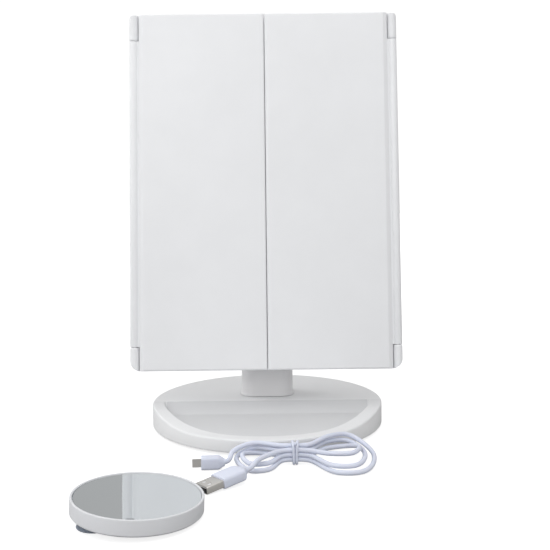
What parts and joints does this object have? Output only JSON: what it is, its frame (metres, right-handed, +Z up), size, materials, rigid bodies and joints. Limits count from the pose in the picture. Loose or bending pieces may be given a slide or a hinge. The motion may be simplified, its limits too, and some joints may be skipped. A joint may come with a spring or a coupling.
{
  "type": "lighted vanity mirror",
  "caption": "Tri-fold lighted vanity mirror on a round tray base with a tilting neck, folding wings, a loose suction-cup spot mirror and a charging cord",
  "frame": {"origin": "middle of the base's grip pad, on the ground", "axes": "+X to the right seen from the front, -Y towards the user, +Z up"},
  "size_m": [0.19, 0.2843, 0.2844],
  "materials": {
    "white_plastic": "satin, cool white",
    "inner_plastic": "matt white",
    "rubber": "matt black anti-slip pad",
    "steel": "bright nickel-plated steel",
    "mirror": "silvered glass",
    "frosted": "frosted white light guide",
    "board": "green circuit board",
    "cell": "dry cell jacket",
    "black_plastic": "black",
    "cup": "soft translucent blue-grey",
    "cord": "satin lavender-white jacket"
  },
  "bodies": {
    "base": {"base_top_cover": "white_plastic", "base_bottom_plate": "inner_plastic", "base_grip_pad": "rubber", "base_screw_1": "steel", "base_screw_2": "steel", "base_screw_3": "steel", "base_screw_4": "steel", "neck_screw_1": "steel", "neck_screw_2": "steel", "neck_column": "white_plastic", "neck_rear_cover": "inner_plastic", "tilt_pin": "steel"},
    "panel": {"rear_housing": "white_plastic", "front_bezel": "white_plastic", "centre_mirror": "mirror", "light_diffuser": "frosted", "led_strip_board": "board", "touch_sensor_pad": "steel", "control_board": "board", "charging_socket": "steel", "battery_cell_1": "cell", "battery_cell_2": "cell", "battery_cell_3": "cell", "battery_cell_4": "cell", "housing_screw_1": "steel", "housing_screw_2": "steel", "housing_screw_3": "steel", "housing_screw_4": "steel", "tilt_cap_left": "inner_plastic", "tilt_cap_right": "inner_plastic", "tilt_washer_left": "black_plastic", "tilt_washer_right": "black_plastic", "wing_pin_left_lower": "steel", "wing_pin_left_upper": "steel", "wing_pin_right_lower": "steel", "wing_pin_right_upper": "steel"},
    "wing_left": {"wing_shell_left": "white_plastic", "wing_frame_left": "inner_plastic", "wing_mirror_left_lower": "mirror", "wing_mirror_left_upper": "mirror"},
    "wing_right": {"wing_shell_right": "white_plastic", "wing_frame_right": "inner_plastic", "wing_mirror_right": "mirror"},
    "power_switch": {"power_switch_slider": "black_plastic"},
    "battery_door": {"battery_cover": "inner_plastic"},
    "spot_mirror": {"spot_mirror_housing": "white_plastic", "spot_mirror_glass": "mirror", "suction_cup_1": "cup", "suction_cup_2": "cup", "suction_cup_3": "cup"},
    "cable": {"cable_cord": "cord", "cable_tie": "cord", "usb_a_grip": "cord", "usb_a_shell": "steel", "usb_a_tongue": "black_plastic", "micro_usb_grip": "cord", "micro_usb_shell": "steel"}
  },
  "joints": [
    {"name": "panel_tilt", "type": "hinge", "parent": "base", "child": "panel", "pos_m": [0, 0.018, 0.056], "axis": [-1, 0, 0], "range_deg": [-12, 80]},
    {"name": "wing_left_swing", "type": "hinge", "parent": "panel", "child": "wing_left", "pos_m": [-0.0894, -0.00156, 0.1625], "axis": [0, -0.1492, -0.9888], "range_deg": [0, 180]},
    {"name": "wing_right_swing", "type": "hinge", "parent": "panel", "child": "wing_right", "pos_m": [0.0894, -0.00156, 0.1625], "axis": [0, 0.1492, 0.9888], "range_deg": [0, 180]},
    {"name": "power_switch_slide", "type": "slide", "parent": "panel", "child": "power_switch", "axis": [0, 0.1492, 0.9888], "range_m": [0, 0.004]},
    {"name": "battery_door_lift", "type": "slide", "parent": "panel", "child": "battery_door", "axis": [0, 0.9888, -0.1492], "range_m": [0, 0.03]},
    {"name": "spot_mirror_lift", "type": "slide", "parent": "base", "child": "spot_mirror", "axis": [0, 0, 1], "range_m": [0, 0.06]},
    {"name": "cable_lift", "type": "slide", "parent": "base", "child": "cable", "axis": [0, 0, 1], "range_m": [0, 0.06]}
  ]
}
